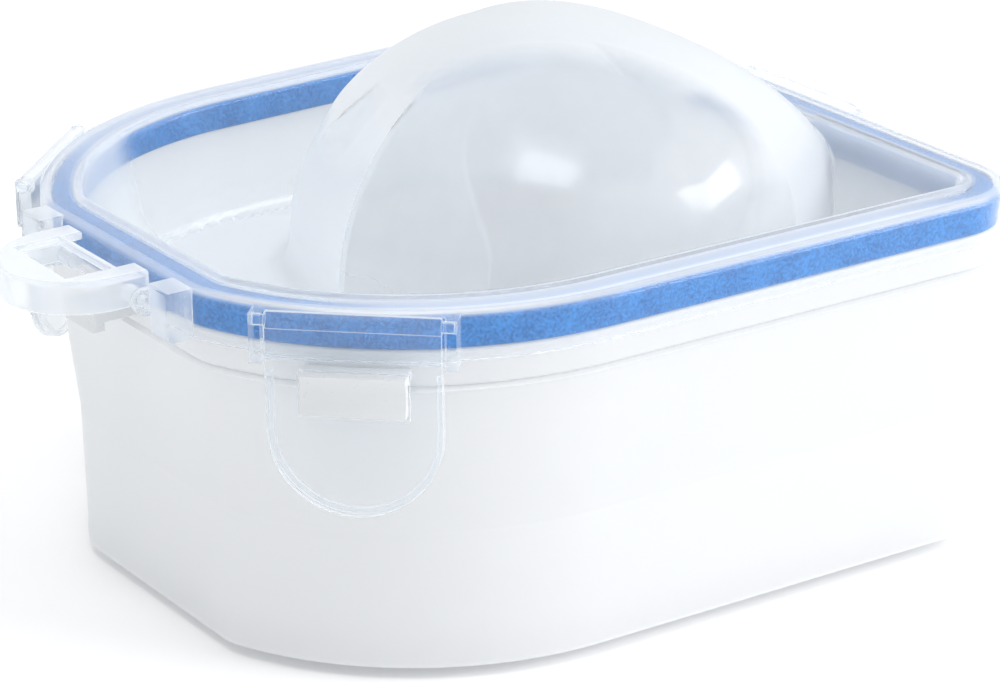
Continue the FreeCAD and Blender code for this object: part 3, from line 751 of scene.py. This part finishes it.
def inset_loop(loop, distance):
    """A closed outline moved inwards, or outwards by a negative distance."""
    area = sum(a[0] * b[1] - b[0] * a[1] for a, b in zip(loop, loop[1:] + loop[:1]))
    side = distance if area > 0 else -distance
    moved = []
    for k, point in enumerate(loop):
        spot, before, after = Vector(point), Vector(loop[k - 1]), Vector(loop[(k + 1) % len(loop)])
        first, second = (spot - before).normalized(), (after - spot).normalized()
        first, second = Vector((-first.y, first.x)), Vector((-second.y, second.x))
        moved.append(tuple(spot + (first + second) / max(1 + first.dot(second), 0.35) * side))
    return moved


def evaluated_mesh(thing):
    """A new mesh of an object's curve or modifiers."""
    bpy.context.view_layer.update()
    graph = bpy.context.evaluated_depsgraph_get()
    return bpy.data.meshes.new_from_object(thing.evaluated_get(graph))


def slab(name, loops, low, high, bevel=0.3):
    """A flat plate between two levels of its frame's third axis, with softened edges."""
    data = bpy.data.curves.new(name, "CURVE")
    data.dimensions = "2D"
    data.fill_mode = "BOTH"
    data.extrude = ((high - low) / 2 - bevel) * MM
    data.bevel_depth = bevel * MM
    data.bevel_resolution = 2
    for order, loop in enumerate(loops):
        loop = inset_loop(loop, -bevel if order else bevel)
        spline = data.splines.new("POLY")
        spline.points.add(len(loop) - 1)
        for point, place in zip(spline.points, loop):
            point.co = (place[0] * MM, place[1] * MM, 0, 1)
        spline.use_cyclic_u = True
    plate = add_object(name, data)
    mesh = evaluated_mesh(plate)
    bpy.data.objects.remove(plate)
    mend(mesh, weld=0.005)
    mesh.transform(Matrix.Translation((0, 0, (low + high) / 2 * MM)))
    return mesh


def rod(name, radius, half, soft=0.25, at=0.0):
    """A round bar along the frame's first axis, with softened ends."""
    steps = 28
    turns = [2 * math.pi * k / steps for k in range(steps)]
    stations = ((-half, radius - soft), (-half + soft, radius),
                (half - soft, radius), (half, radius - soft))
    rows = [[(along, size * math.cos(a), size * math.sin(a)) for a in turns]
            for along, size in stations]
    mesh = mesh_from_grid(name, rows, caps=(0, 3))
    mesh.transform(Matrix.Translation((at * MM, 0, 0)))
    return mesh


def combine(first, tools, operation="UNION"):
    """One closed mesh from several: tools are added to the first or taken from it."""
    whole = add_object("blank", first)
    for mesh in tools:
        other = add_object("tool", mesh)
        step = whole.modifiers.new("join", "BOOLEAN")
        step.operation = operation
        step.solver = "EXACT"
        step.object = other
        result = evaluated_mesh(whole)
        whole.modifiers.clear()
        whole.data = result
        bpy.data.objects.remove(other)
    mesh = whole.data
    bpy.data.objects.remove(whole)
    return mesh


def hinge_frame(body, raised=False):
    """Frame at a latch's hinge: along it, up, and outwards from the bowl."""
    joint = JOINTS[body]
    along = Vector(joint["axis"]).normalized()
    out = UP.cross(along)
    second, third = (-out, UP) if raised else (UP, out)
    turn = Matrix((-along, second, third)).transposed()
    return Matrix.Translation(joint["pos_m"]) @ turn.to_4x4()


def make_long_latch(body, material):
    """A flap with a slot for its catch, hinge pins, and a lip round its foot on the inside."""
    plate = slab("plate", [tongue(FLAP_HALF, FLAP_TOP, FLAP_LONG), box_loop(*FLAP_SLOT)],
                 0.0, FLAP_THICK, 0.25)
    inner = tongue(FLAP_HALF - LIP_WALL, -LIP_TOP, FLAP_LONG - LIP_WALL)
    lip = slab("lip", [tongue(FLAP_HALF, -LIP_TOP, FLAP_LONG) + inner[::-1]], -LIP_DEEP, -0.05, 0.5)
    mesh = combine(plate, [rod("knuckle", KNUCKLE_R, FLAP_HALF), rod("pins", PIN_R, 21.6)])
    set_haze(mesh, FLAP_HAZE)
    set_haze(lip, LIP_HAZE)
    for piece, shape in (("_flap", mesh), ("_lip", lip)):
        shape.transform(hinge_frame(body))
        finish_piece(body + piece, shape, material, body, [body])


def make_finger_latch(material):
    """A slotted tab with a band round its edge, and a knuckle and a pin each side of its hinge."""
    body = "finger_latch"
    outline = tongue(TAB_HALF, TAB_TOP, TAB_LONG)
    gap = [(-TAB_GAP_HALF, TAB_TOP), (-TAB_GAP_HALF, -TAB_GAP_FOOT),
           (TAB_GAP_HALF, -TAB_GAP_FOOT), (TAB_GAP_HALF, TAB_TOP)]
    plate = slab("plate", [outline + gap, box_loop(*TAB_SLOT)], 4.5, 6.5, 0.5)
    inside = tongue(TAB_HALF - TAB_WALL, TAB_TOP, TAB_LONG - TAB_WALL)
    band = slab("band", [outline + inside[::-1]], -1.2, 5.6, 0.4)
    knuckles = [rod("knuckle", KNUCKLE_R, 3.0, at=side * TAB_KNUCKLE_AT) for side in (-1, 1)]
    pins = [rod("pin", PIN_R, 2.0, at=side * TAB_PIN_AT) for side in (-1, 1)]
    mesh = combine(plate, [band] + knuckles + pins)
    set_haze(mesh, TAB_HAZE)
    mesh.transform(hinge_frame(body, raised=True))
    finish_piece("finger_latch_tab", mesh, material, body, [body])


def make_pad(name, body, material, out, half, curved):
    """A flat pad on the skirt behind a long latch, with an ear each side of the flap."""
    hinge_out = out + HINGE_OUT
    face = out - hinge_out
    tip = face + EAR_OUT
    far_side = [(EAR_INNER, face), (EAR_INNER, tip), (EAR_OUTER, tip), (EAR_OUTER, face)]
    if half > EAR_OUTER:
        far_side.append((half, face))
    outline = [(-u, v) for u, v in far_side[::-1]] + far_side
    steps = 12
    for k in range(steps + 1):
        u = half - 2 * half * k / steps
        sag = SHOULDER_R - math.sqrt(SHOULDER_R ** 2 - u * u) if curved else 0.0
        outline.append((u, -hinge_out - sag - 0.35))
    # the outline lies in the plan, so the plate is stood up along the hinge frame's second axis
    mesh = slab(name, [outline], -SKIRT + 2.2, 1.6, PAD_EDGE)
    mesh.transform(Matrix(((1, 0, 0, 0), (0, 0, 1, 0), (0, 1, 0, 0), (0, 0, 0, 1))))
    mend(mesh)
    groove = rod("groove", GROOVE_R, EAR_INNER, soft=0.01)
    holes = rod("holes", PIN_HOLE_R, EAR_OUTER - 0.6, soft=0.01)
    mesh = combine(mesh, [groove, holes], "DIFFERENCE")
    set_haze(mesh, 0.0, PAD_VEIL)
    mesh.transform(hinge_frame(body))
    finish_piece(name, mesh, material, "bowl", ["tray"])


def make_finger_pads(material):
    """Blocks and ears at the finger end, in the frame of the finger latch's hinge."""
    place = hinge_frame("finger_latch")
    ear_outline = arc_points((0.0, 0.0), FINGER_EAR_R, -math.pi / 2, math.pi / 2, 17)
    ear_outline += [(FINGER_EAR_BACK, FINGER_EAR_R), (FINGER_EAR_BACK, -FINGER_EAR_R)]
    for side, label in ((-1, "near"), (1, "far")):
        left, right = sorted((BLOCK_INNER * side, BLOCK_OUTER * side))
        block = slab(label + "_block", [box_loop(left, right, BLOCK_FOOT, BLOCK_TOP)],
                     BLOCK_BACK, BLOCK_FACE, 0.6)
        set_haze(block, BLOCK_HAZE)
        block.transform(place)
        finish_piece(f"finger_{label}_block", block, material, "bowl", ["tray"])
        ear = slab(label + "_ear", [ear_outline], FINGER_EAR_INNER, FINGER_EAR_OUTER, 0.25)
        hole = rod("hole", PIN_HOLE_R, 40.0, soft=0.01)
        hole.transform(Matrix.Rotation(math.pi / 2, 4, "Y"))
        ear = combine(ear, [hole], "DIFFERENCE")
        set_haze(ear, EAR_HAZE)
        # the outline is in (out, up), so its third axis runs along the hinge
        turn = Matrix(((0, 0, side, 0), (0, 1, 0, 0), (1, 0, 0, 0), (0, 0, 0, 1)))
        ear.transform(turn)
        ear.transform(place)
        if turn.determinant() < 0:
            ear.flip_normals()
        finish_piece(f"finger_{label}_ear", ear, material, "bowl", ["tray"])


def make_catch(name, latch, material, hinge_out, top, high, out, half):
    """A hooked bar on the tub: a web, and a lip that hangs from it with a hollow face."""
    joint = JOINTS[latch]
    foot, shelf = top + high, top + CATCH_WEB
    steps = 6
    outline = [(CATCH_ROOT, -top)]
    for t in (k / steps for k in range(steps + 1)):
        outline.append((out - 0.15 * high * 4 * t * (1 - t), -top - high * t))
    outline += [(out - CATCH_LIP, -foot), (out - CATCH_LIP, -shelf), (CATCH_ROOT, -shelf)]
    mesh = slab(name, [outline], -half, half)
    # the outline is in (out, up) from the rim, so its third axis runs along the hinge
    mesh.transform(Matrix(((0, 0, -1, 0), (0, 1, 0, 0), (1, 0, 0, 0), (0, 0, 0, 1))))
    along = Vector(joint["axis"]).normalized()
    turn = Matrix((-along, UP, UP.cross(along))).transposed()
    rim = Vector(joint["pos_m"]) - UP.cross(along) * hinge_out * MM
    rim.z = TOP * MM
    mesh.transform(Matrix.Translation(rim) @ turn.to_4x4())
    finish_piece(name + "_bar", mesh, material, "bowl", [name])


def dress(looks):
    """Give each CAD node that still shows its material."""
    slots = {part["node"]: part["material_slot"] for part in frame["record"]["subparts"]}
    for name, node in frame["nodes"].items():
        node.data.materials.clear()
        node.data.materials.append(looks[slots[name]])


make_camera()
make_light()
make_floor()
LOOKS = {
    "white_pp": white_plastic("white_polypropylene", (0.93, 0.935, 0.94), 0.36, 0.42),
    # painted shade: the catches' white is set greyer than the tub's white, to stand in for the shade on their
    # faces
    "catch_white": white_plastic("catch_white", (0.74, 0.76, 0.78), 0.28, 0.0),
    "blue_foam": blue_foam(),
    "clear_pp": clear_plastic("clear_polypropylene", 1.4, 0.72, 0.08, 0.16),
    "thin_clear": clear_plastic("thin_clear_polypropylene", 1.06, 0.42, 0.14, 0.24),
}
dress(LOOKS)
make_tub(LOOKS["white_pp"])
# a catch's hinge distance from the skirt, its drop, height, reach and half width
CATCHES = {
    "near_shoulder": (1.4, 13.5, 8.8, 4.6, 11.5),
    "far_shoulder": (1.4, 13.5, 8.8, 4.6, 11.5),
    "wrist": (3.4, 13.5, 8.8, 6.6, 11.5),
    "finger": (3.5, 12.1, 4.6, 9.7, 6.5),
}
for place, sizes in CATCHES.items():
    make_catch(place + "_catch", place + "_latch", LOOKS["catch_white"], *sizes)
make_gasket(LOOKS["blue_foam"])
make_tray(LOOKS["clear_pp"])
# a pad's distance from the skirt, its half width, and whether it follows the round shoulder
PADS = {
    "near_shoulder": (0.3, 22.5, True),
    "far_shoulder": (0.3, 22.5, True),
    "wrist": (2.3, 32.5, False),
}
for place in PADS:
    make_long_latch(place + "_latch", LOOKS["thin_clear"])
make_finger_latch(LOOKS["thin_clear"])
for place, sizes in PADS.items():
    make_pad(place + "_pad", place + "_latch", LOOKS["thin_clear"], *sizes)
make_finger_pads(LOOKS["thin_clear"])
